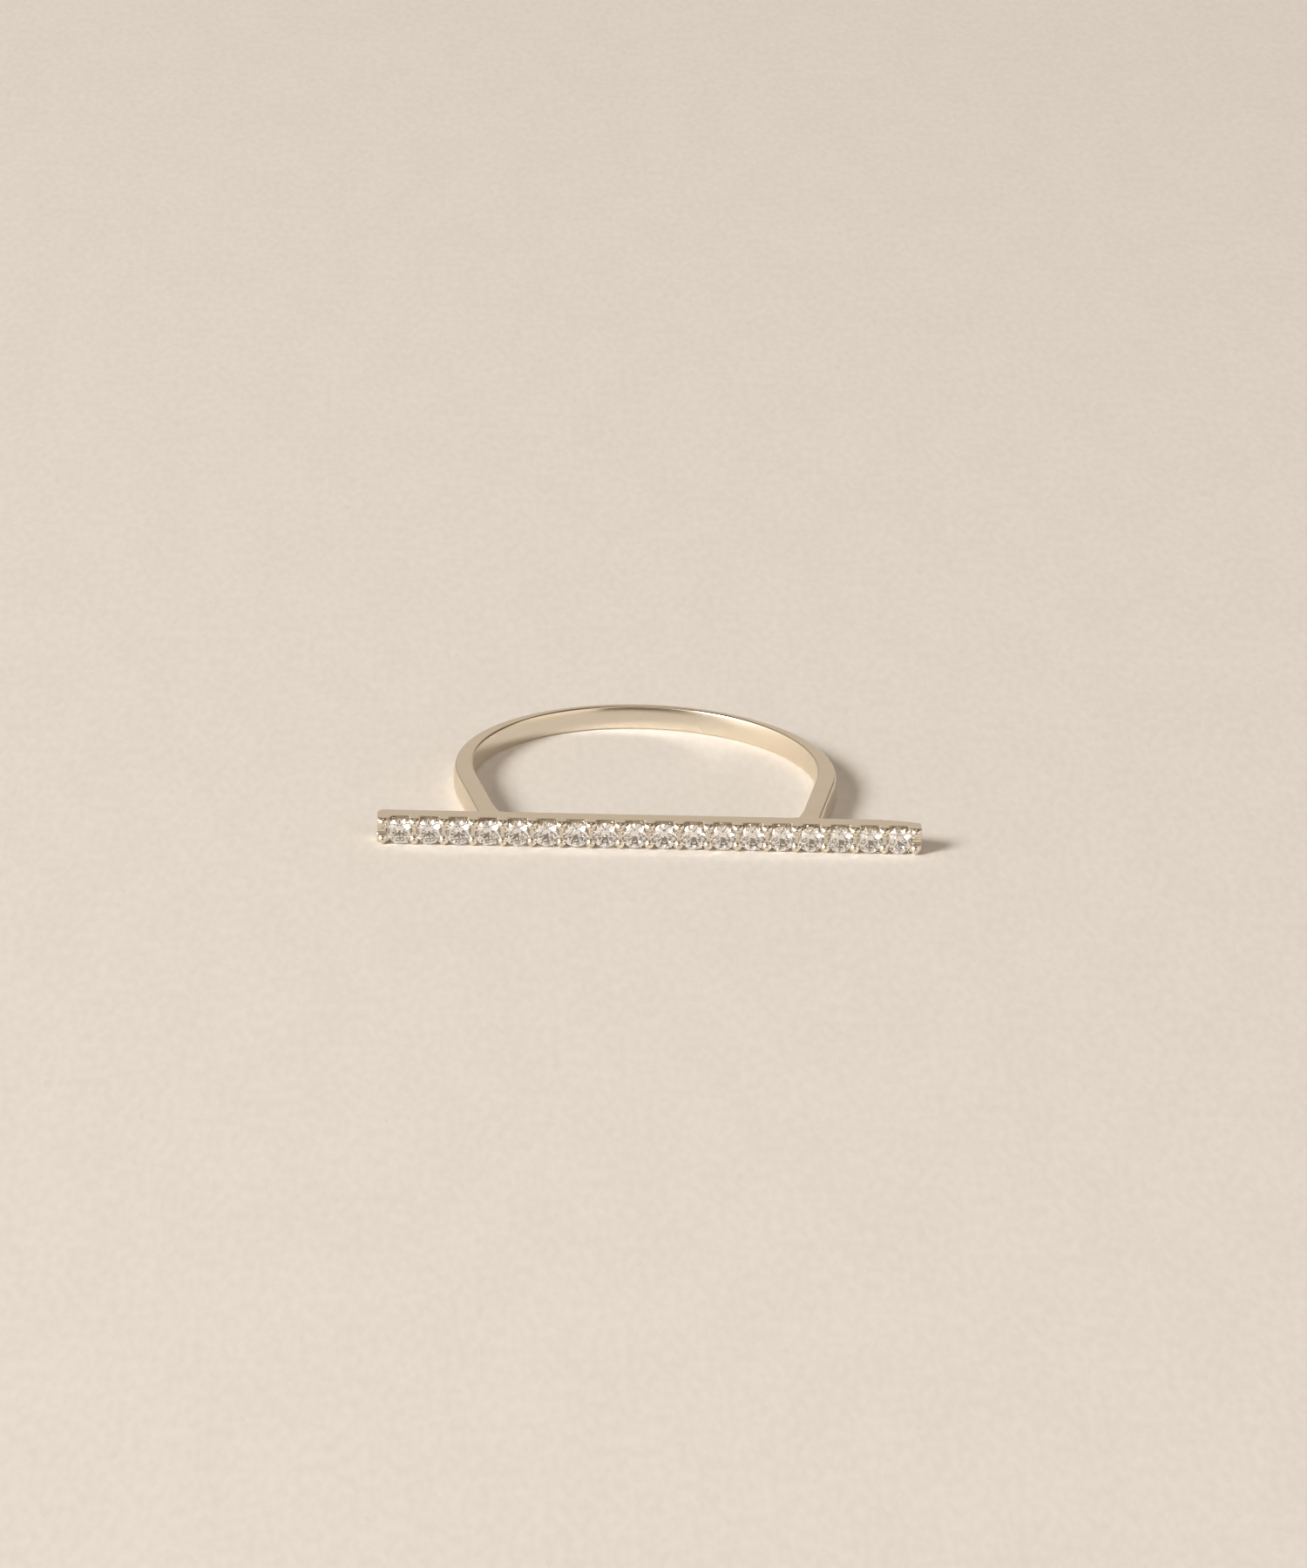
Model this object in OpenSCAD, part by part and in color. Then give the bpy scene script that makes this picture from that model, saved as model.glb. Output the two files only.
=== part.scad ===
// A finger ring with a straight bar of stones across its front, lying on its side.
// Millimetres. +Z is the finger's axis, +X runs along the bar, and the stones face -Y.
// The origin is under the middle of the ring's box, on the surface that it rests on.

/* [Band] */
// Diameter of the round part of the finger hole
finger_d = 16.6; // [15:0.1:20]
// Depth of the finger hole, from the bar's back to the inside of the band
hole_depth = 15.35; // [14:0.05:18]
// Height of the band, along the finger
band_h = 1.2; // [1:0.05:1.3]
// Thickness of the band behind the finger, its thinnest place
back_t = 0.42; // [0.3:0.02:0.8]
// Thickness of the band at the finger's sides
side_t = 0.85; // [0.6:0.05:1.1]
// Angle by which each leg leans outwards from the bar
leg_splay = 10.5; // [8:0.5:14]
// Height over which each leg's inner side flares out into its joint with the bar
flare_h = 1.4; // [1:0.1:2]
// Angle by which the inner side leans there
flare_splay = 16.5; // [14:0.5:20]
// Size of the solder's fillet inside each joint of leg and bar
solder_r = 0.3; // [0.1:0.05:0.5]

/* [Bar] */
// Height of the bar, along the finger
bar_h = 1.3; // [1.3:0.05:1.5]
// Depth of the bar's solid rail, behind the stones
rail_t = 0.84; // [0.7:0.02:0.95]
// Metal past the middle of the last prongs at each end
end_margin = 0.37; // [0.3:0.01:0.5]
// Rounding of the bar's left back corner
left_round = 0.35; // [0.2:0.05:0.5]
// Length over which the bar's right back edge is eased
right_ease_l = 2.2; // [1:0.1:3]
// Depth by which it is eased at the very end
right_ease_t = 0.4; // [0.1:0.05:0.5]

/* [Stones] */
// Diameter of a stone
stone_d = 1.25; // [1.2:0.01:1.3]
// Distance from one stone's middle to the next one's
pitch = 1.39; // [1.36:0.01:1.45]
// Number of stones
stone_count = 18; // [12:2:18]
// Height of the stones' widest plane above the bar's back
girdle_y = 1.2; // [1.15:0.01:1.25]
// Gap between a stone and the metal round it
seat_gap = 0.03; // [0.02:0.005:0.04]
// Radius of the light hole behind each stone
light_hole_r = 0.3; // [0.2:0.05:0.35]

/* [Prongs] */
// Width of the cross walls between the stones
wall_w = 0.47; // [0.4:0.01:0.5]
// How far the cross walls rise over the stones' widest plane, to hold their edges
wall_rise = 0.08; // [0.06:0.01:0.1]
// Radius of a prong's bead
bead_r = 0.23; // [0.2:0.01:0.23]
// Distance of a bead's middle from the bar's middle height
bead_z = 0.41; // [0.38:0.01:0.41]
// How far a bead's middle lies below the stones' widest plane
bead_sink = 0.03; // [0.02:0.01:0.06]
// How far the beads of the last prongs stand out past them, towards the bar's ends
end_shift = 0.1; // [0:0.01:0.12]

/* [Cut of the stones] */
// Width of the table, as a share of the stone's diameter
table_share = 0.57; // [0.53:0.01:0.62]
// Angle of the crown's main facets
crown_angle = 34.5; // [32:0.5:36]
// Angle of the pavilion's main facets
pavilion_angle = 41; // [40:0.25:42]
// Thickness of the girdle, as a share of the stone's diameter
girdle_share = 0.03; // [0.02:0.01:0.04]
// Length of the star facets, as a share of the way from table to girdle
star_share = 0.5; // [0.4:0.05:0.6]
// Length of the lower girdle facets, as a share of the way from girdle to point
lower_share = 0.77; // [0.7:0.01:0.85]

/* [Hidden] */
$fn = 96;

inner_r = finger_d / 2;
inner_cy = hole_depth - inner_r;
outer_r = inner_r + side_t;
outer_cy = hole_depth + back_t - outer_r;

stone_r = stone_d / 2;
table_r = stone_r * table_share;
girdle_t = stone_d * girdle_share;
crown_h = (stone_r - table_r) * tan(crown_angle);
pavilion_h = stone_r * tan(pavilion_angle);

bar_half = stone_count * pitch / 2 + end_margin;
bead_top = girdle_y - bead_sink + bead_r;
table_top = girdle_y + girdle_t / 2 + crown_h;
bar_depth = max(bead_top, table_top);

// The bar's back lies this far behind the origin, which is in the middle of the whole depth
bar_back_y = bar_depth - (hole_depth + back_t + bar_depth) / 2;
overlap = 0.1;
// Round corners are a little over their radius, so that they cross the faces they join
past_tangent = 1.02;
tuck = 0.01;
ease_lead = 0.4;

facet_count = 8;
facet_step = 360 / facet_count;

function stone_name(i) = str("stone_", i < 10 ? "0" : "", i);
function stone_x(i) = (i - (stone_count + 1) / 2) * pitch;
function wall_x(i) = (i - stone_count / 2) * pitch;
function stone_turn(i) = (i * 137.5) % facet_step;

// A point at a radius, a height and an angle round the stone's own axis
function polar(r, h, a) = [r * cos(a), r * sin(a), h];

// A main facet's plane runs from the girdle at this angle; the height on it of a point between two mains
function on_main(r, slope) = (stone_r - r * cos(facet_step / 2)) * tan(slope);

// Where a leg's side, leaning by leg_splay, touches a circle of the band
function touch(r, cy) = [r * cos(leg_splay), cy - r * sin(leg_splay)];
function leg_x(r, cy, y) = touch(r, cy)[0] - (touch(r, cy)[1] - y) * tan(leg_splay);

// Puts the bar's back, drawn at y = 0, in its place
module in_place() {
    translate([0, bar_back_y, 0]) children();
}

// Turns a shape drawn round +Z to face the stones' way, at a place along the bar
module facing_out(x) {
    translate([x, 0, bar_h / 2]) rotate([90, 0, 0]) children();
}

// Band

// A circle over a foot that narrows to the bar; the foot's upper corners lie just inside the circle
module arch(r, cy, foot_y) {
    foot_x = leg_x(r, cy, foot_y);
    corner = touch(r - tuck, cy);
    translate([0, cy]) circle(r);
    polygon([[-foot_x, foot_y], [foot_x, foot_y], corner, [-corner[0], corner[1]]]);
}

module band_outline() {
    width = 2 * outer_r;
    difference() {
        arch(outer_r, outer_cy, -2 * overlap);
        arch(inner_r, inner_cy, -2 * overlap);
        translate([-width / 2, -width - overlap]) square(width);
    }
}

// The flare of each leg's inner side, with the solder's hollow fillet between it and the bar's back
module joint_outline() {
    top_x = leg_x(inner_r, inner_cy, flare_h);
    corner = top_x - flare_h * tan(flare_splay);
    middle = corner - solder_r * tan(45 - flare_splay / 2);
    on_flare = [middle + solder_r * cos(flare_splay), solder_r - solder_r * sin(flare_splay)];
    for (side = [0, 1]) mirror([side, 0]) difference() {
        polygon([
            [middle, 0], [middle, -overlap], [top_x, -overlap],
            [top_x + overlap, flare_h], [top_x, flare_h], on_flare
        ]);
        translate([middle, solder_r]) circle(solder_r * past_tangent);
    }
}

module band() {
    linear_extrude(band_h) band_outline();
    linear_extrude(band_h) joint_outline();
}

// Bar

module rail() {
    difference() {
        translate([-bar_half, -rail_t, 0]) cube([2 * bar_half, rail_t, bar_h]);
        left_corner();
        right_edge();
    }
}

// What is filed off the rail's left back corner
module left_corner() {
    translate([left_round - bar_half, -left_round, -overlap]) difference() {
        translate([-1, 0, 0]) cube([1, 1, bar_h + 2 * overlap]);
        cylinder(r = left_round * past_tangent, h = bar_h + 2 * overlap);
    }
}

// What is filed off the rail's right back edge: the arc's top lies a little before the eased stretch
module right_edge() {
    far = right_ease_l + ease_lead;
    middle_y = (ease_lead * ease_lead - far * far - right_ease_t * right_ease_t) / (2 * right_ease_t);
    translate([bar_half - far, middle_y, -overlap]) difference() {
        translate([0, -middle_y - rail_t / 2, 0]) cube([far + 1, rail_t, bar_h + 2 * overlap]);
        cylinder(r = norm([ease_lead, middle_y]), h = bar_h + 2 * overlap);
    }
}

// A cross wall between two stones, or at an end, with its pair of beads
module prong_wall(i) {
    x = wall_x(i);
    left = i == 0 ? -bar_half : x - wall_w / 2;
    right = i == stone_count ? bar_half : x + wall_w / 2;
    bead_x = x + (i == 0 ? -end_shift : i == stone_count ? end_shift : 0);
    top = girdle_y + wall_rise;
    translate([left, -top, 0]) cube([right - left, top - rail_t + overlap, bar_h]);
    for (side = [-1, 1])
        translate([bead_x, bead_sink - girdle_y, bar_h / 2 + side * bead_z]) sphere(bead_r);
}

// The room that a stone takes: its own shape turned round its axis, larger by the gap, over a light hole
module seat(i) {
    r = stone_r + seat_gap;
    low = girdle_y - girdle_t / 2 - seat_gap;
    high = girdle_y + girdle_t / 2 + seat_gap;
    top = table_top + overlap;
    facing_out(stone_x(i)) rotate_extrude() polygon([
        [0, -overlap],
        [light_hole_r, -overlap],
        [light_hole_r, low - (r - light_hole_r) * tan(pavilion_angle)],
        [r, low],
        [r, high],
        [r - (top - high) / tan(crown_angle), top],
        [0, top]
    ]);
}

module bar() {
    difference() {
        union() {
            rail();
            for (i = [0:stone_count]) prong_wall(i);
        }
        for (i = [1:stone_count]) seat(i);
    }
}

module ring_metal() {
    color([0.80, 0.73, 0.60]) in_place() union() {
        band();
        bar();
    }
}

// Stones

// A round brilliant: its widest plane's middle at the origin, its table towards +Z
module brilliant() {
    n = facet_count;
    star_r = table_r * cos(facet_step / 2) + star_share * (stone_r - table_r * cos(facet_step / 2));
    lower_r = stone_r * (1 - lower_share);
    half = girdle_t / 2;
    table = [for (k = [0:n - 1]) polar(table_r, half + crown_h, k * facet_step)];
    stars = [for (k = [0:n - 1]) polar(star_r, half + on_main(star_r, crown_angle), (k + 0.5) * facet_step)];
    upper = [for (k = [0:2 * n - 1]) polar(stone_r, half, k * facet_step / 2)];
    lower = [for (k = [0:2 * n - 1]) polar(stone_r, -half, k * facet_step / 2)];
    joins = [for (k = [0:n - 1]) polar(lower_r, -half - on_main(lower_r, pavilion_angle), (k + 0.5) * facet_step)];
    point = [[0, 0, -half - pavilion_h]];
    t = 0;
    s = n;
    u = 2 * n;
    l = 4 * n;
    j = 6 * n;
    p = 7 * n;
    faces = concat(
        [[for (k = [n - 1:-1:0]) t + k]],
        [for (k = [0:n - 1]) [s + k, t + k, t + (k + 1) % n]],
        [for (k = [0:n - 1]) [s + k, u + 2 * k, s + (k + n - 1) % n, t + k]],
        [for (k = [0:n - 1]) [s + k, u + 2 * k + 1, u + 2 * k]],
        [for (k = [0:n - 1]) [s + k, u + (2 * k + 2) % (2 * n), u + 2 * k + 1]],
        [for (k = [0:2 * n - 1]) [u + k, u + (k + 1) % (2 * n), l + (k + 1) % (2 * n), l + k]],
        [for (k = [0:n - 1]) [l + 2 * k, l + 2 * k + 1, j + k]],
        [for (k = [0:n - 1]) [l + 2 * k + 1, l + (2 * k + 2) % (2 * n), j + k]],
        [for (k = [0:n - 1]) [l + 2 * k, j + k, p, j + (k + n - 1) % n]]
    );
    polyhedron(concat(table, stars, upper, lower, joins, point), faces);
}

module stone(i) {
    color([0.93, 0.92, 0.90]) in_place() facing_out(stone_x(i))
        translate([0, 0, girdle_y]) rotate([0, 0, stone_turn(i)]) brilliant();
}

ring_metal();
for (i = [1:stone_count]) stone(i);
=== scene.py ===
"""The looks of a bar ring: polished pale gold metal and clear stones, lying on its side on pale paper.

Sizes are in millimetres in the CAD frame until a mesh is made, and in metres from there on.
"""

import math

import bmesh
import bpy
import numpy as np
import openvdb
from mathutils import Matrix, Vector


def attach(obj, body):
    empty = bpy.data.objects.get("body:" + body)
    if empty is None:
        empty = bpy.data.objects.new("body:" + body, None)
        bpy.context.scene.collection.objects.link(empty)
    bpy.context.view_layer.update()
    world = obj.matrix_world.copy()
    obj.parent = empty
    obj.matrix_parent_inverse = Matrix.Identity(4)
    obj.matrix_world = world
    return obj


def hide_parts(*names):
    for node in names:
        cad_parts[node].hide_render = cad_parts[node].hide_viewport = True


MM = 0.001

# Band, as in the CAD source
INNER_R = 8.3
HOLE_DEPTH = 15.35
BACK_T = 0.42
SIDE_T = 0.85
BAND_H = 1.2
LEG_SPLAY = math.radians(10.5)
FLARE_SPLAY = math.radians(16.5)
FLARE_H = 1.4

# Stones
STONE_COUNT = 18
PITCH = 1.39
STONE_R = 0.625
GIRDLE_Y = 1.2
GIRDLE_SHARE = 0.03
TABLE_SHARE = 0.57
CROWN_ANGLE = math.radians(34.5)
PAVILION_ANGLE = math.radians(41)

# Bar that holds them
BAR_H = 1.3
RAIL_T = 0.84
LIGHT_HOLE_R = 0.3
WALL_W = 0.47
WALL_RISE = 0.08
BEAD_R = 0.23
BEAD_Z = 0.41
BEAD_SINK = 0.03

# Its ends
END_MARGIN = 0.37
END_SHIFT = 0.1
LEFT_ROUND = 0.35
RIGHT_EASE_L = 2.2
RIGHT_EASE_T = 0.4
EASE_LEAD = 0.4

# Places that follow from these
OUTER_R = INNER_R + SIDE_T
INNER_CY = HOLE_DEPTH - INNER_R
OUTER_CY = HOLE_DEPTH + BACK_T - OUTER_R
GIRDLE_HALF = STONE_R * GIRDLE_SHARE
CROWN_H = STONE_R * (1 - TABLE_SHARE) * math.tan(CROWN_ANGLE)
BAR_HALF = STONE_COUNT * PITCH / 2 + END_MARGIN
BAR_DEPTH = GIRDLE_Y + GIRDLE_HALF + CROWN_H
BAR_BACK_Y = (BAR_DEPTH - HOLE_DEPTH - BACK_T) / 2

# Shaping of the edges, which the CAD source leaves sharp, and of the seats, which fit the stones closer
DOME_R = 1.8
DOME_H = 0.5
INNER_PROUD = 0.035
RIM_EDGE = 0.09
OUTER_DOME_R = 1.5
OUTER_DOME_H = 0.5
OUTER_PROUD = 0.08
LEFT_OUTER_EDGE = 0.07
RIGHT_OUTER_EDGE = 0.12
EDGE_GROWS_TO = 6
BACK_EDGE = 0.08
PRONG_EDGE = 0.16
PRONG_LOW_EDGE = 0.4
WALL_EDGE = 0.05
BEAD_FLOW = 0.06
SEAT_GAP = 0.015
SEAT_EDGE = 0.035
SOLDER_FLOW = 0.3
END_GROOVE_R = 0.2
END_GROOVE_DEPTH = 0.08

# How far the band's feet and the cross walls reach into the bar
FOOT_DEPTH = 0.3
WALL_ROOT = 0.2

# Grid that the bar's distance field is sampled on, some layers at a time
VOXEL = 0.03
GRID_MARGIN = 3 * VOXEL
GRID_LAYERS = 64
MERGE_FLATS = 0.03

# How a mesh's points are drawn onto the exact surface
DRAW_ROUNDS = 3
LONGEST_MOVE = 0.5 * VOXEL
SLOPE_STEP = 0.002
LEAST_SLOPE_2 = 0.05
TINY = 1e-6

# Steps of the swept band, which meets the gridded bar a little above the joints
ARC_STEPS = 181
LEG_STEPS = 9
DOME_STEPS = 8
RIM_STEPS = 8
CUT_Y = 2.0
CUT_GAP = 0.05

# Metal's finish, with a satin roughness and a darker painted shade that fade in on the walls that face left,
# towards the lamp, as the normal's X goes from the start value to the end value below
METAL_LIGHT = (0.80, 0.738, 0.638)
METAL_DEEP = (0.776, 0.713, 0.612)
# Darker colour painted on the walls that face the lamp: painted shade, not the alloy's own colour
METAL_SATIN_SHADE = (0.71, 0.635, 0.52)
ROUGHNESS = 0.2
ROUGHNESS_SPREAD = 0.02
SETTING_ROUGHNESS = 0.19
SETTING_Y = BAR_BACK_Y - RAIL_T
SETTING_FADE = 0.05
SATIN_ROUGHNESS = 0.7
SATIN_AND_SHADE_START = -0.2
SATIN_AND_SHADE_END = -0.9
STREAK_STRETCH = (1, 1, 0.04)
STREAK_DEPTH = 0.0008
GRAIN_DEPTH = 0.0001

# Stones' finish
STONE_WARM = (1.0, 0.985, 0.96)
STONE_COOL = (0.985, 0.99, 1.0)
STONE_ROUGHNESS = 0.03
STONE_IOR = 2.17

# Paper's finish
PAPER_LIGHT = (0.80, 0.774, 0.747)
PAPER_DEEP = (0.74, 0.713, 0.685)
PAPER_DEPTH = 0.002
PAPER_STRETCH = (1, 0.35, 1)
CLOUDS_SHADE = 0.2
FIBRES_SHADE = 0.8
SPECKS_SHADE = 2.0

# Values of a noise between which each of these fades in
CLOUDS_FADE = (0.35, 0.65)
TINT_FADE = (0.4, 0.6)
POLISH_FADE = (0.3, 0.7)
FIBRES_FADE = (0.2, 0.8)
SPECKS_FADE = (0.82, 0.88)

# Camera, worked out from the photograph's outlines
LOOK_AT = Vector((0.42, -0.32, 0.29)) * MM
CAMERA_AZIMUTH = math.radians(-2.3)
CAMERA_ELEVATION = math.radians(20.38)
CAMERA_ROLL = math.radians(1.99)
CAMERA_DISTANCE = 380 * MM
CAMERA_LENS = 180.8

# Light, in metres and watts
KEY_DIRECTION = Vector((-1.18, -0.8, 0.88)).normalized()
KEY_DISTANCE = 1.5
KEY_SIZE = 0.54
KEY_POWER = 22.5
KEY_COLOUR = (1.0, 0.97, 0.92)

# Room round the stage, and the X, Y and Z of directions between which its colours change
FRONT_COLOUR = (1.05, 0.92, 0.79)
BACK_COLOUR = (0.667, 0.571, 0.471)
DARK_COLOUR = (0.14, 0.105, 0.07)
FRONT_TO_BACK_Y = (0.0, 0.4)
CORNER_X_SQUARED = (0.08, 0.2)
CORNER_Y = (0.0, 0.3)
CORNER_Z = (0.1, 0.25)
CEILING_Z = (0.62, 0.76)
OVERHEAD_Z = (1.0, 0.92)
VIEWER_Y = (-0.84, -0.9)


# Distance fields: negative inside, in millimetres, with the bar's back at y = 0


def rounded_both(a, b, r):
    """Where both fields are inside, with the edge between them rounded by r."""
    inside = np.minimum(np.maximum(a, b) + r, 0)
    return inside + np.hypot(np.maximum(a + r, 0), np.maximum(b + r, 0)) - r


def flowing_either(a, b, r):
    """Where either field is inside, with a hollow fillet of about r between them."""
    share = np.clip(0.5 + 0.5 * (b - a) / r, 0, 1)
    return b + (a - b) * share - r * share * (1 - share)


def slab(v, middle, half):
    """What lies within a distance of a middle, along one axis."""
    return np.abs(v - middle) - half


def arch(x, y, r, cy):
    """A circle whose sides run on below it as straight legs that lean in."""
    side = np.abs(x)
    up = y - cy
    along = side * math.sin(LEG_SPLAY) + up * math.cos(LEG_SPLAY)
    across = side * math.cos(LEG_SPLAY) - up * math.sin(LEG_SPLAY)
    return np.where(along > 0, np.hypot(side, up), across) - r


def outer_edge(x):
    """How far the band's outer rims are rounded, which grows from its middle to its right side."""
    to_right = np.clip(x / EDGE_GROWS_TO, 0, 1)
    return LEFT_OUTER_EDGE + (RIGHT_OUTER_EDGE - LEFT_OUTER_EDGE) * to_right


def outer_proud(x):
    """How far the band's outer wall stands out past its outline, which grows from its back to its sides."""
    return OUTER_PROUD * np.abs(x) / OUTER_R


def band(x, y, z):
    """The band: its inside is domed up to a crisp rim, and its legs flare out into their joints."""
    height = slab(z, BAND_H / 2, BAND_H / 2)
    touch_y = INNER_CY - INNER_R * math.sin(LEG_SPLAY)
    flare_x = INNER_R * math.cos(LEG_SPLAY) - (touch_y - FLARE_H) * math.tan(LEG_SPLAY)
    flare = (np.abs(x) - flare_x) * math.cos(FLARE_SPLAY) - (y - FLARE_H) * math.sin(FLARE_SPLAY)
    hollow = np.maximum(arch(x, y, INNER_R, INNER_CY), flare)
    domed = rounded_both(-hollow - INNER_PROUD, height - (DOME_R - DOME_H), DOME_R)
    inner = rounded_both(domed, height, RIM_EDGE)
    outside = arch(x, y, OUTER_R, OUTER_CY) - outer_proud(x)
    domed = rounded_both(outside, height - (OUTER_DOME_R - OUTER_DOME_H), OUTER_DOME_R)
    outer = rounded_both(domed, height, outer_edge(x))
    return np.maximum(np.maximum(outer, inner), -FOOT_DEPTH - y)


def rail(x, y, z):
    """The bar's solid back, with its round left corner and the eased back edge of its right end."""
    outline = rounded_both(slab(x, 0, BAR_HALF), y, BACK_EDGE)
    corner = rounded_both(-BAR_HALF - x, y, LEFT_ROUND)
    far = RIGHT_EASE_L + EASE_LEAD
    middle_y = (EASE_LEAD**2 - far**2 - RIGHT_EASE_T**2) / (2 * RIGHT_EASE_T)
    ease_r = math.hypot(EASE_LEAD, middle_y)
    ease = np.hypot(np.maximum(x - BAR_HALF + far, 0), y - middle_y) - ease_r
    outline = np.maximum(np.maximum(outline, corner), ease)
    block = rounded_both(outline, slab(z, BAR_H / 2, BAR_H / 2), BACK_EDGE)
    return np.maximum(block, -RAIL_T - y)


def prong_walls(x, y, z):
    """The cross walls between the stones, each with its pair of round prongs."""
    last = STONE_COUNT / 2
    nearest = np.clip(np.round(x / PITCH), -last, last)
    from_wall = x - nearest * PITCH
    at_end = np.abs(nearest) == last
    outwards = np.sign(nearest)
    half_w = np.where(at_end & (from_wall * outwards > 0), END_MARGIN, WALL_W / 2)
    front = GIRDLE_Y + WALL_RISE
    edge = np.where(z < BAR_H / 2, PRONG_LOW_EDGE, PRONG_EDGE)
    profile = rounded_both(-front - y, slab(z, BAR_H / 2, BAR_H / 2), edge)
    wall = rounded_both(np.abs(from_wall) - half_w, profile, WALL_EDGE)
    root = y + RAIL_T - WALL_ROOT
    wall = np.maximum(wall, root)
    groove_y = y + front + END_GROOVE_R - END_GROOVE_DEPTH
    groove = END_GROOVE_R - np.hypot(groove_y, z - BAR_H / 2)
    wall = np.where(at_end, np.maximum(wall, groove), wall)
    prong_x = from_wall - np.where(at_end, outwards * END_SHIFT, 0)
    prong_y = np.minimum(y + GIRDLE_Y - BEAD_SINK, 0)
    prong_z = np.abs(z - BAR_H / 2) - BEAD_Z
    prong = np.sqrt(prong_x**2 + prong_y**2 + prong_z**2) - BEAD_R
    return flowing_either(wall, np.maximum(prong, root), BEAD_FLOW)


def seats(x, y, z):
    """The room that the stones take, over their light holes."""
    nearest = np.clip(np.round(x / PITCH - 0.5), -STONE_COUNT / 2, STONE_COUNT / 2 - 1)
    from_axis = np.hypot(x - (nearest + 0.5) * PITCH, z - BAR_H / 2)
    out = from_axis - STONE_R - SEAT_GAP
    low = GIRDLE_Y - GIRDLE_HALF - SEAT_GAP
    high = GIRDLE_Y + GIRDLE_HALF + SEAT_GAP
    pavilion = out * math.sin(PAVILION_ANGLE) + (low + y) * math.cos(PAVILION_ANGLE)
    crown = out * math.sin(CROWN_ANGLE) - (high + y) * math.cos(CROWN_ANGLE)
    room = np.maximum(np.maximum(out, pavilion), crown)
    return np.minimum(room, from_axis - LIGHT_HOLE_R)


def metal(x, y, z):
    """All the metal, in the CAD frame: the bar without the stones' room, flowing into the band."""
    y = y - BAR_BACK_Y
    bar = flowing_either(rail(x, y, z), prong_walls(x, y, z), SEAT_EDGE)
    bar = -flowing_either(-bar, seats(x, y, z), SEAT_EDGE)
    whole = flowing_either(band(x, y, z), bar, SOLDER_FLOW)
    sides = np.maximum(slab(z, BAR_H / 2, BAR_H / 2), np.abs(x) - BAR_HALF)
    return np.maximum(whole, sides)


# Meshes


def slope(field, points):
    """The field's gradient at each point, by differences."""
    columns = []
    for axis in range(3):
        ahead = points.copy()
        behind = points.copy()
        ahead[:, axis] += SLOPE_STEP
        behind[:, axis] -= SLOPE_STEP
        columns.append((field(*ahead.T) - field(*behind.T)) / (2 * SLOPE_STEP))
    return np.stack(columns, axis=1)


def drawn_onto(field, points):
    """The points moved onto the surface where the field is zero, and the surface's normals there."""
    for _ in range(DRAW_ROUNDS):
        gradient = slope(field, points)
        length_2 = np.maximum((gradient**2).sum(1), LEAST_SLOPE_2)
        move = -gradient * (field(*points.T) / length_2)[:, None]
        too_long = np.maximum(np.linalg.norm(move, axis=1) / LONGEST_MOVE, 1)
        points = points + move / too_long[:, None]
    gradient = slope(field, points)
    return points, gradient / np.maximum(np.linalg.norm(gradient, axis=1), TINY)[:, None]


def gridded(field, low, high):
    """The surface where the field is zero inside a box: its points and its faces."""
    low = np.array(low) - GRID_MARGIN
    steps = np.ceil((np.array(high) + GRID_MARGIN - low) / VOXEL).astype(int) + 1
    x, y, z = (low[i] + VOXEL * np.arange(steps[i]) for i in range(3))
    values = np.empty(steps, np.float32)
    for start in range(0, steps[0], GRID_LAYERS):
        part = slice(start, start + GRID_LAYERS)
        values[part] = field(x[part, None, None], y[None, :, None], z[None, None, :])
    grid = openvdb.FloatGrid(GRID_MARGIN)
    grid.copyFromArray(np.clip(values, -GRID_MARGIN, GRID_MARGIN))
    points, triangles, quads = grid.convertToPolygons(isovalue=0, adaptivity=MERGE_FLATS)
    return points.astype(float) * VOXEL + low, triangles.tolist() + quads.tolist()


def band_outline(r, cy):
    """Places along an arch from its left foot to its right one, and the directions outwards there."""
    turns = np.linspace(math.pi + LEG_SPLAY, -LEG_SPLAY, ARC_STEPS)
    arc_out = np.stack([np.cos(turns), np.sin(turns)], axis=1)
    arc = arc_out * r + (0, cy)
    leg = (arc[0, 1] - CUT_Y) / math.cos(LEG_SPLAY) + CUT_GAP
    lengths = leg * np.linspace(1, 0, LEG_STEPS, endpoint=False)
    left = arc[0] + lengths[:, None] * (math.sin(LEG_SPLAY), -math.cos(LEG_SPLAY))
    right = left[::-1] * (-1, 1)
    along_leg = np.ones((LEG_STEPS, 1))
    out = np.concatenate([along_leg * arc_out[0], arc_out, along_leg * arc_out[-1]])
    return np.concatenate([left, arc, right]), out


def wall_section(dome_r, dome_h, edge):
    """A wall of the band in section, from bottom to top: depths behind its middle, and heights."""
    turns = np.linspace(0, math.pi / 2, RIM_STEPS)[1:]
    drops = np.concatenate([np.linspace(dome_h, edge, DOME_STEPS), edge * (1 - np.sin(turns))])
    backs = np.concatenate([np.zeros(DOME_STEPS), edge * (1 - np.cos(turns))])
    depths = dome_r - np.sqrt((dome_r - backs) ** 2 - (dome_h - drops) ** 2)
    return np.concatenate([depths[::-1], depths]), np.concatenate([drops[::-1], BAND_H - drops])


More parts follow.
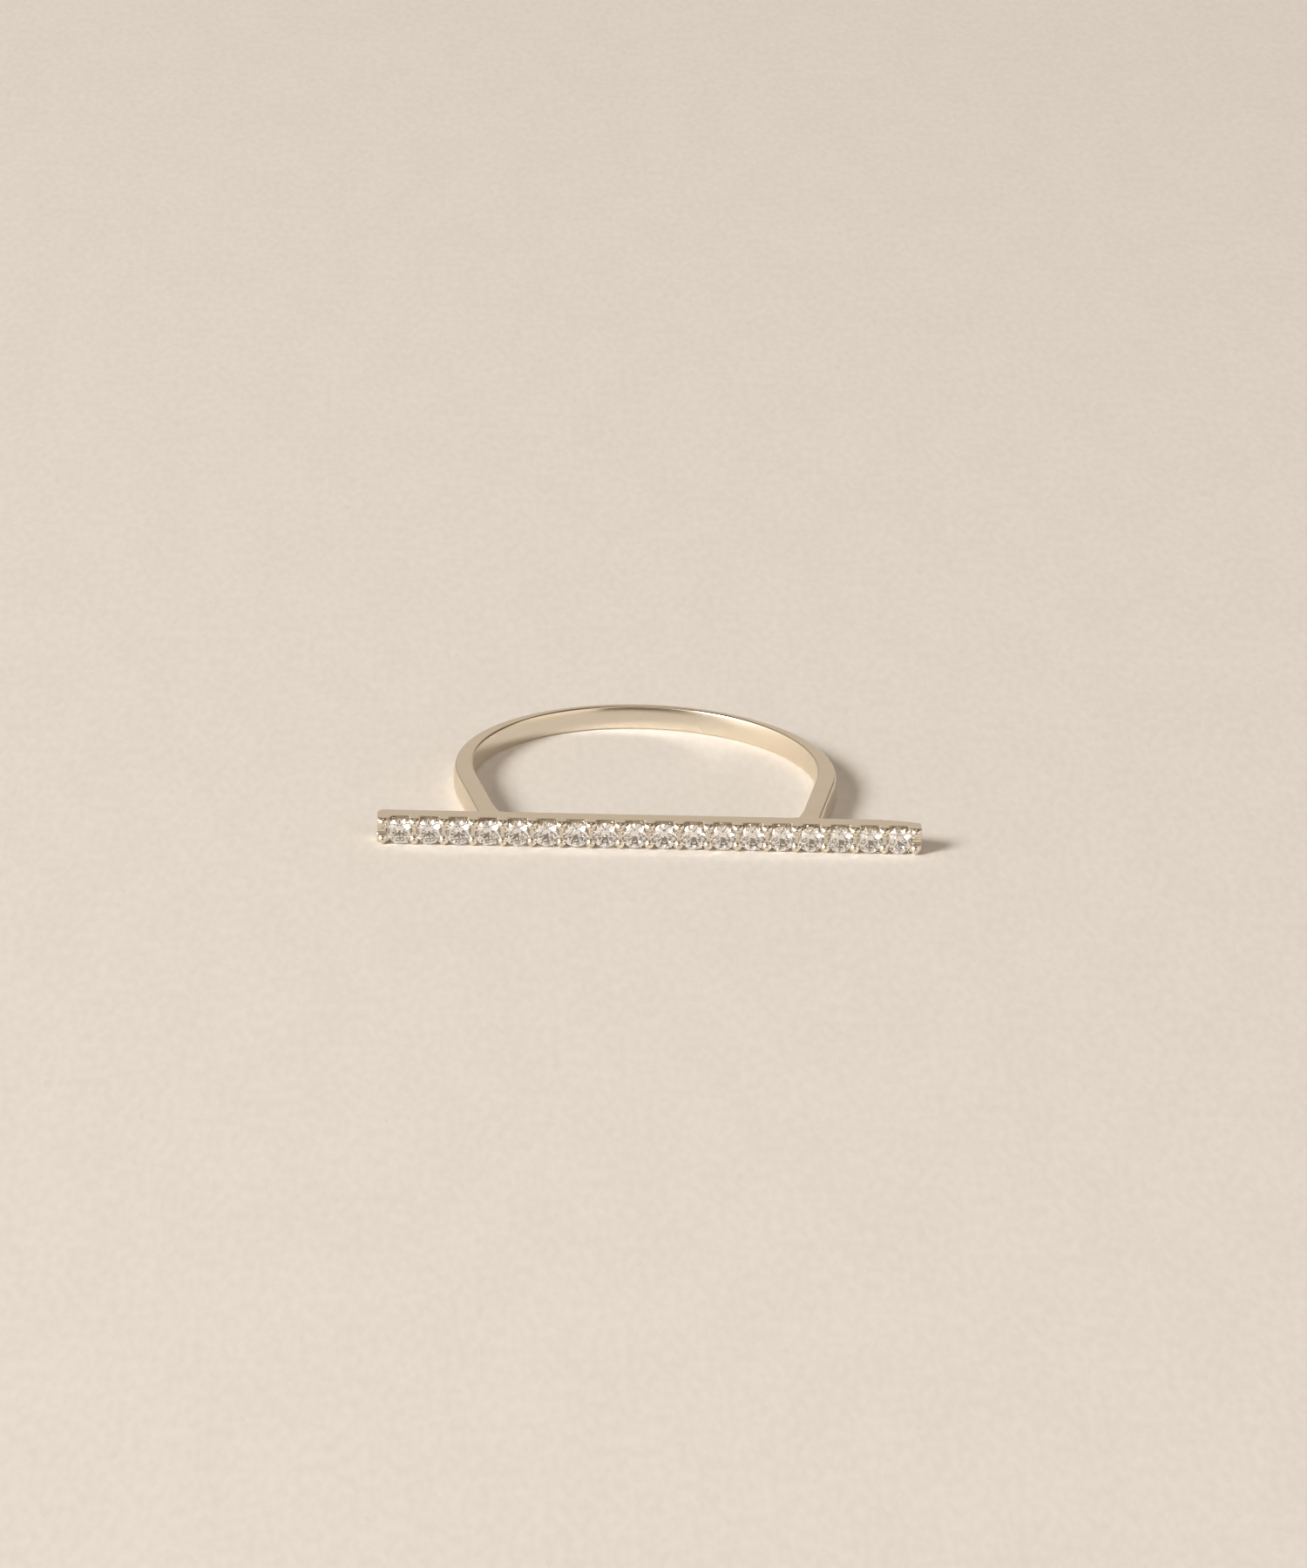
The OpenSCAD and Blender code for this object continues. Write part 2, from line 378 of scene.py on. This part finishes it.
def swept_band():
    """The band's surface, open at both feet: its points and its faces."""
    inner, inner_out = band_outline(INNER_R, INNER_CY)
    outer, outer_out = band_outline(OUTER_R, OUTER_CY)
    inner_depths, inner_heights = wall_section(DOME_R, DOME_H, RIM_EDGE)
    points = []
    for inside, into_metal, outside, outwards in zip(inner, inner_out, outer, outer_out):
        outer_depths, outer_heights = wall_section(OUTER_DOME_R, OUTER_DOME_H, outer_edge(outside[0]))
        proud = outer_proud(outside[0])
        for depth, height in zip(inner_depths, inner_heights):
            points.append((*(inside + into_metal * (depth - INNER_PROUD)), height))
        for depth, height in zip(outer_depths[::-1], outer_heights[::-1]):
            points.append((*(outside - outwards * (depth - proud)), height))
    loop = len(inner_depths) * 2
    faces = []
    for start in range(0, (len(inner) - 1) * loop, loop):
        for i in range(loop):
            a = start + i
            b = start + (i + 1) % loop
            faces.append((a, b, b + loop, a + loop))
    return np.array(points) + (0, BAR_BACK_Y, 0), faces


def part_surface(points, faces, cut_y, keeps_above):
    """A surface that ends in a cut across both legs, as a mesh in millimetres."""
    mesh = bpy.data.meshes.new("part")
    mesh.from_pydata(points.tolist(), [], faces)
    mesh.validate()
    surface = bmesh.new()
    surface.from_mesh(mesh)
    bmesh.ops.bisect_plane(
        surface,
        geom=[*surface.verts, *surface.edges, *surface.faces],
        plane_co=(0, BAR_BACK_Y + cut_y, 0),
        plane_no=(0, 1, 0),
        clear_inner=keeps_above,
        clear_outer=not keeps_above,
    )
    surface.to_mesh(mesh)
    surface.free()
    return mesh


def metal_surface(name):
    """The metal's mesh: the bar and its joints from a grid, and the band swept, as one closed surface."""
    low = (-BAR_HALF, BAR_BACK_Y - GIRDLE_Y - BEAD_R, 0)
    high = (BAR_HALF, BAR_BACK_Y + CUT_Y, BAR_H)
    surface = bmesh.new()
    surface.from_mesh(part_surface(*gridded(metal, low, high), CUT_Y, keeps_above=False))
    surface.from_mesh(part_surface(*swept_band(), CUT_Y + CUT_GAP, keeps_above=True))
    for side in (-1, 1):
        open_edges = [edge for edge in surface.edges if edge.is_boundary and edge.verts[0].co.x * side > 0]
        bmesh.ops.bridge_loops(surface, edges=open_edges)
    bmesh.ops.recalc_face_normals(surface, faces=surface.faces)
    points, normals = drawn_onto(metal, np.array([corner.co for corner in surface.verts]))
    for corner, point in zip(surface.verts, points * MM):
        corner.co = point
    mesh = bpy.data.meshes.new(name)
    surface.to_mesh(mesh)
    surface.free()
    mesh.shade_smooth()
    mesh.normals_split_custom_set_from_vertices(normals.tolist())
    return mesh


# Materials


class Shading:
    """A node tree with short ways to add the few kinds of node that are used here."""

    def __init__(self, tree):
        self.nodes = tree.nodes
        self.links = tree.links

    def place_in_mm(self, stretch=(1, 1, 1)):
        """The place on the object in millimetres, scaled along each axis."""
        place = self.nodes.new("ShaderNodeTexCoord")
        scaled = self.nodes.new("ShaderNodeMapping")
        scaled.inputs["Scale"].default_value = [factor / MM for factor in stretch]
        self.links.new(place.outputs["Object"], scaled.inputs["Vector"])
        return scaled.outputs["Vector"]

    def noise(self, place, per_mm, detail=2.0):
        """Cloudy values round the middle of 0 to 1, with about so many clouds to the millimetre."""
        texture = self.nodes.new("ShaderNodeTexNoise")
        texture.inputs["Scale"].default_value = per_mm
        texture.inputs["Detail"].default_value = detail
        self.links.new(place, texture.inputs["Vector"])
        return texture.outputs["Fac"]

    def axis(self, vector, name):
        """One coordinate of a vector, by its letter."""
        split = self.nodes.new("ShaderNodeSeparateXYZ")
        self.links.new(vector, split.inputs[0])
        return split.outputs[name]

    def ramp(self, value, start, end, low=0.0, high=1.0):
        """Goes smoothly from low to high as the value goes from start to end."""
        node = self.nodes.new("ShaderNodeMapRange")
        node.interpolation_type = "SMOOTHSTEP"
        node.inputs["From Min"].default_value = start
        node.inputs["From Max"].default_value = end
        node.inputs["To Min"].default_value = low
        node.inputs["To Max"].default_value = high
        self.links.new(value, node.inputs["Value"])
        return node.outputs["Result"]

    def math(self, operation, a, b):
        """What an operation makes of two values, each a number or another node's output."""
        node = self.nodes.new("ShaderNodeMath")
        node.operation = operation
        for socket, value in zip(node.inputs, (a, b)):
            if isinstance(value, (int, float)):
                socket.default_value = value
            else:
                self.links.new(value, socket)
        return node.outputs[0]

    def mix(self, factor, a, b):
        """Goes from colour a to colour b with the factor; each is a tuple or another node's output."""
        node = self.nodes.new("ShaderNodeMix")
        node.data_type = "RGBA"
        self.links.new(factor, node.inputs["Factor"])
        # The sockets for colours come after those for numbers and vectors, under the same names
        for socket, colour in ((node.inputs[6], a), (node.inputs[7], b)):
            if isinstance(colour, tuple):
                socket.default_value = (*colour, 1)
            else:
                self.links.new(colour, socket)
        return node.outputs[2]

    def bump(self, height, depth_mm, normal=None):
        """The normal, tilted as heights of 0 to 1 over a depth in millimetres tilt the surface."""
        node = self.nodes.new("ShaderNodeBump")
        node.inputs["Strength"].default_value = 1
        node.inputs["Distance"].default_value = depth_mm * MM
        self.links.new(height, node.inputs["Height"])
        if normal is not None:
            self.links.new(normal, node.inputs["Normal"])
        return node.outputs["Normal"]


def new_material(name):
    """A node material, the short ways to add to its nodes, and its shader."""
    material = bpy.data.materials.new(name)
    material.use_nodes = True
    return material, Shading(material.node_tree), material.node_tree.nodes["Principled BSDF"]


def metal_material():
    """Pale gold plate: polished, faintly streaked and cloudy, and satin with a darker painted shade on walls
    that face left, towards the lamp.
    """
    material, shading, shader = new_material("pale_gold")
    place = shading.place_in_mm()
    streaks = shading.noise(shading.place_in_mm(STREAK_STRETCH), per_mm=5, detail=3)
    grain = shading.noise(place, per_mm=18)
    clouds = shading.noise(place, per_mm=0.9, detail=3)
    setting = shading.ramp(shading.axis(place, "Y"), SETTING_Y + SETTING_FADE, SETTING_Y - SETTING_FADE)
    rough = shading.ramp(clouds, *CLOUDS_FADE, ROUGHNESS - ROUGHNESS_SPREAD, ROUGHNESS + ROUGHNESS_SPREAD)
    normal = shading.nodes.new("ShaderNodeTexCoord").outputs["Normal"]
    # Walls that face left, towards the lamp, get a satin roughness and a darker colour that is painted shade
    satin_and_shade = shading.ramp(shading.axis(normal, "X"), SATIN_AND_SHADE_START, SATIN_AND_SHADE_END)
    for share, roughness in ((setting, SETTING_ROUGHNESS), (satin_and_shade, SATIN_ROUGHNESS)):
        rough = shading.math("ADD", rough, shading.math("MULTIPLY", share, roughness - ROUGHNESS))
    colour = shading.mix(clouds, METAL_LIGHT, METAL_DEEP)
    colour = shading.mix(satin_and_shade, colour, METAL_SATIN_SHADE)
    shading.links.new(colour, shader.inputs["Base Color"])
    shading.links.new(rough, shader.inputs["Roughness"])
    fine = shading.bump(grain, GRAIN_DEPTH)
    shading.links.new(shading.bump(streaks, STREAK_DEPTH, fine), shader.inputs["Normal"])
    shader.inputs["Metallic"].default_value = 1
    return material


def stone_material():
    """Clear cut stone, with the faintest warm and cool tints and an uneven polish."""
    material, shading, shader = new_material("clear_stone")
    place = shading.place_in_mm()
    tints = shading.noise(place, per_mm=2.4, detail=1)
    polish = shading.noise(place, per_mm=6)
    tint = shading.mix(shading.ramp(tints, *TINT_FADE), STONE_WARM, STONE_COOL)
    shading.links.new(tint, shader.inputs["Base Color"])
    shading.links.new(shading.ramp(polish, *POLISH_FADE, high=STONE_ROUGHNESS), shader.inputs["Roughness"])
    shader.inputs["IOR"].default_value = STONE_IOR
    shader.inputs["Transmission Weight"].default_value = 1
    return material


def paper_material():
    """Pale uncoated paper: cloudy, finely mottled and uneven, with a rare darker speck."""
    material, shading, shader = new_material("paper")
    place = shading.place_in_mm(PAPER_STRETCH)
    clouds = shading.noise(place, per_mm=0.35, detail=4)
    fibres = shading.noise(place, per_mm=2.8)
    specks = shading.noise(place, per_mm=1.6, detail=0)
    shade = shading.ramp(clouds, *CLOUDS_FADE, high=CLOUDS_SHADE)
    shade = shading.math("ADD", shade, shading.ramp(fibres, *FIBRES_FADE, high=FIBRES_SHADE))
    shade = shading.math("ADD", shade, shading.ramp(specks, *SPECKS_FADE, high=SPECKS_SHADE))
    shading.links.new(shading.mix(shade, PAPER_LIGHT, PAPER_DEEP), shader.inputs["Base Color"])
    shading.links.new(shading.bump(fibres, PAPER_DEPTH), shader.inputs["Normal"])
    shader.inputs["Roughness"].default_value = 1
    shader.inputs["Specular IOR Level"].default_value = 0
    return material


# Stage


def make_floor():
    """A sheet of paper that reaches past the view on all sides, just below what rests on it."""
    mesh = bpy.data.meshes.new("paper")
    half = 1.5
    below = -0.01 * MM
    corners = [(-half, -half, below), (half, -half, below), (half, half, below), (-half, half, below)]
    mesh.from_pydata(corners, [], [(0, 1, 2, 3)])
    mesh.materials.append(paper_material())
    paper = bpy.data.objects.new("paper", mesh)
    bpy.context.scene.collection.objects.link(paper)


def make_camera():
    """The camera, turned and raised round LOOK_AT by its angles, and rolled about its line of sight."""
    turn = CAMERA_AZIMUTH
    rise = CAMERA_ELEVATION
    back = Vector((math.sin(turn) * math.cos(rise), -math.cos(turn) * math.cos(rise), math.sin(rise)))
    right = Vector((math.cos(turn), math.sin(turn), 0))
    up = back.cross(right)
    rolled_right = right * math.cos(CAMERA_ROLL) + up * math.sin(CAMERA_ROLL)
    rolled_up = up * math.cos(CAMERA_ROLL) - right * math.sin(CAMERA_ROLL)
    data = bpy.data.cameras.new("camera")
    data.lens = CAMERA_LENS
    data.sensor_width = 36
    data.clip_start = 0.01
    data.clip_end = 10
    camera = bpy.data.objects.new("camera", data)
    axes = Matrix((rolled_right, rolled_up, back)).transposed()
    camera.matrix_world = Matrix.Translation(LOOK_AT + back * CAMERA_DISTANCE) @ axes.to_4x4()
    bpy.context.scene.collection.objects.link(camera)
    bpy.context.scene.camera = camera


def make_key_light():
    """One soft light, in front on the left and about halfway up."""
    data = bpy.data.lights.new("key", "AREA")
    data.shape = "DISK"
    data.size = KEY_SIZE
    data.energy = KEY_POWER
    data.color = KEY_COLOUR
    light = bpy.data.objects.new("key", data)
    light.location = KEY_DIRECTION * KEY_DISTANCE
    light.rotation_euler = KEY_DIRECTION.to_track_quat("Z", "Y").to_euler()
    bpy.context.scene.collection.objects.link(light)


def make_room():
    """Surroundings: pale walls, dark in the corners behind, round a pale patch overhead and by the camera."""
    world = bpy.data.worlds.new("room")
    world.use_nodes = True
    shading = Shading(world.node_tree)
    direction = shading.nodes.new("ShaderNodeTexCoord").outputs["Generated"]
    across = shading.axis(direction, "X")
    along = shading.axis(direction, "Y")
    up = shading.axis(direction, "Z")
    walls = shading.mix(shading.ramp(along, *FRONT_TO_BACK_Y), FRONT_COLOUR, BACK_COLOUR)
    to_side = shading.ramp(shading.math("MULTIPLY", across, across), *CORNER_X_SQUARED)
    raised = shading.ramp(up, *CORNER_Z)
    behind = shading.ramp(along, *CORNER_Y)
    corners = shading.math("MULTIPLY", shading.math("MULTIPLY", to_side, raised), behind)
    ceiling = shading.math("MULTIPLY", shading.ramp(up, *CEILING_Z), shading.ramp(up, *OVERHEAD_Z))
    viewer = shading.ramp(along, *VIEWER_Y)
    dark = shading.math("MAXIMUM", shading.math("MAXIMUM", corners, ceiling), viewer)
    colour = shading.mix(dark, walls, DARK_COLOUR)
    shading.links.new(colour, shading.nodes["Background"].inputs["Color"])
    bpy.context.scene.world = world


def set_rendering():
    """Plain colours, enough bounces for light to leave the stones, and no clamp on the metal's glow."""
    scene = bpy.context.scene
    scene.view_settings.view_transform = "Standard"
    scene.cycles.max_bounces = 20
    scene.cycles.glossy_bounces = 8
    scene.cycles.transmission_bounces = 16
    scene.cycles.diffuse_bounces = 4
    scene.cycles.use_adaptive_sampling = False
    scene.cycles.sample_clamp_indirect = 0
    scene.cycles.blur_glossy = 0
    scene.cycles.use_denoising = True


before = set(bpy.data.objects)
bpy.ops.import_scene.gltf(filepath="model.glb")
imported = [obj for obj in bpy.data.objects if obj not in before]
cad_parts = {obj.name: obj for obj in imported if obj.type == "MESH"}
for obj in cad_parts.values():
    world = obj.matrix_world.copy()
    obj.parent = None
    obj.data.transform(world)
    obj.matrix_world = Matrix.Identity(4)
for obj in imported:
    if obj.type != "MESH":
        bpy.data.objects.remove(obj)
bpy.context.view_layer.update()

metal_mesh = metal_surface("ring_metal_smooth")
metal_mesh.materials.append(metal_material())
metal_piece = bpy.data.objects.new("ring_metal_smooth", metal_mesh)
bpy.context.scene.collection.objects.link(metal_piece)
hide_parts("ring_metal")
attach(metal_piece, "root")

clear = stone_material()
for name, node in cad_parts.items():
    if name.startswith("stone_"):
        node.data.materials.clear()
        node.data.materials.append(clear)

make_floor()
make_camera()
make_key_light()
make_room()
set_rendering()
